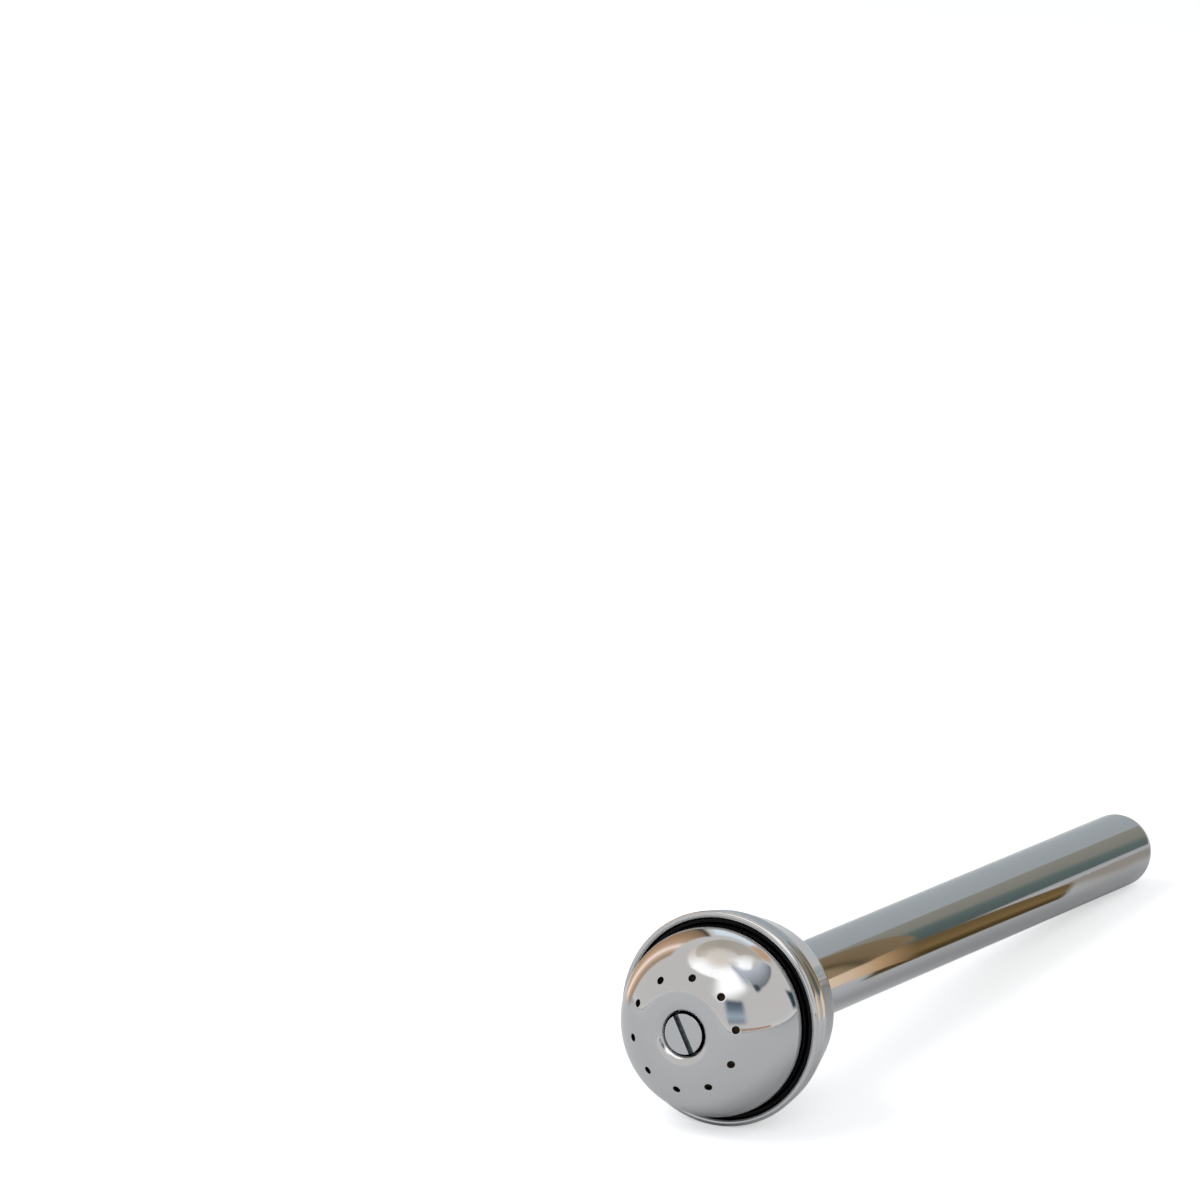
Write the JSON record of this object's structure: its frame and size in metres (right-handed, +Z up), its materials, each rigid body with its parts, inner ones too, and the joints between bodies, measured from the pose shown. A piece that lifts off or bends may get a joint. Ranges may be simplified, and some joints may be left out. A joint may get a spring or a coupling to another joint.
{
  "type": "holy water sprinkler",
  "caption": "Polished steel hand sprinkler: a round head whose perforated front comes off with one slotted screw, on a straight tube handle.",
  "frame": {"origin": "centre of the bounding box's base, on the table that the sprinkler lies on", "axes": "+Y runs along the handle, away from the head and level on the table; +Z is up. The sprinkler's own axis dips about 4 degrees from head to handle end, because it rests on the head's lip and the handle end"},
  "size_m": [0.0434, 0.2154, 0.0434],
  "materials": {
    "polished_steel": "polished",
    "turned_steel": "satin",
    "screw_steel": "polished",
    "black_rubber": "matte",
    "washer_rubber": "matte",
    "sponge": "matte"
  },
  "bodies": {
    "handle": {"handle_tube": "polished_steel", "handle_end_cap": "polished_steel", "cup": "polished_steel", "centre_post": "turned_steel", "seal_ring": "black_rubber", "sponge": "sponge"},
    "rose": {"rose": "polished_steel"},
    "washer": {"screw_washer": "washer_rubber"},
    "screw": {"rose_screw": "screw_steel"}
  },
  "joints": [
    {"name": "rose_off", "type": "slide", "parent": "handle", "child": "rose", "axis": [0, -0.9975, 0.0709], "range_m": [0, 0.03]},
    {"name": "screw_back_out", "type": "slide", "parent": "rose", "child": "washer", "axis": [0, -0.9975, 0.0709], "range_m": [0, 0.0104]},
    {"name": "screw_turn", "type": "hinge", "parent": "washer", "child": "screw", "pos_m": [0, -0.10648, 0.02285], "axis": [0, -0.9975, 0.0709], "range_deg": [0, 4681]}
  ],
  "couplings": [
    {"joint": "screw_turn", "follows": "screw_back_out", "rad_per_m": 7854}
  ]
}
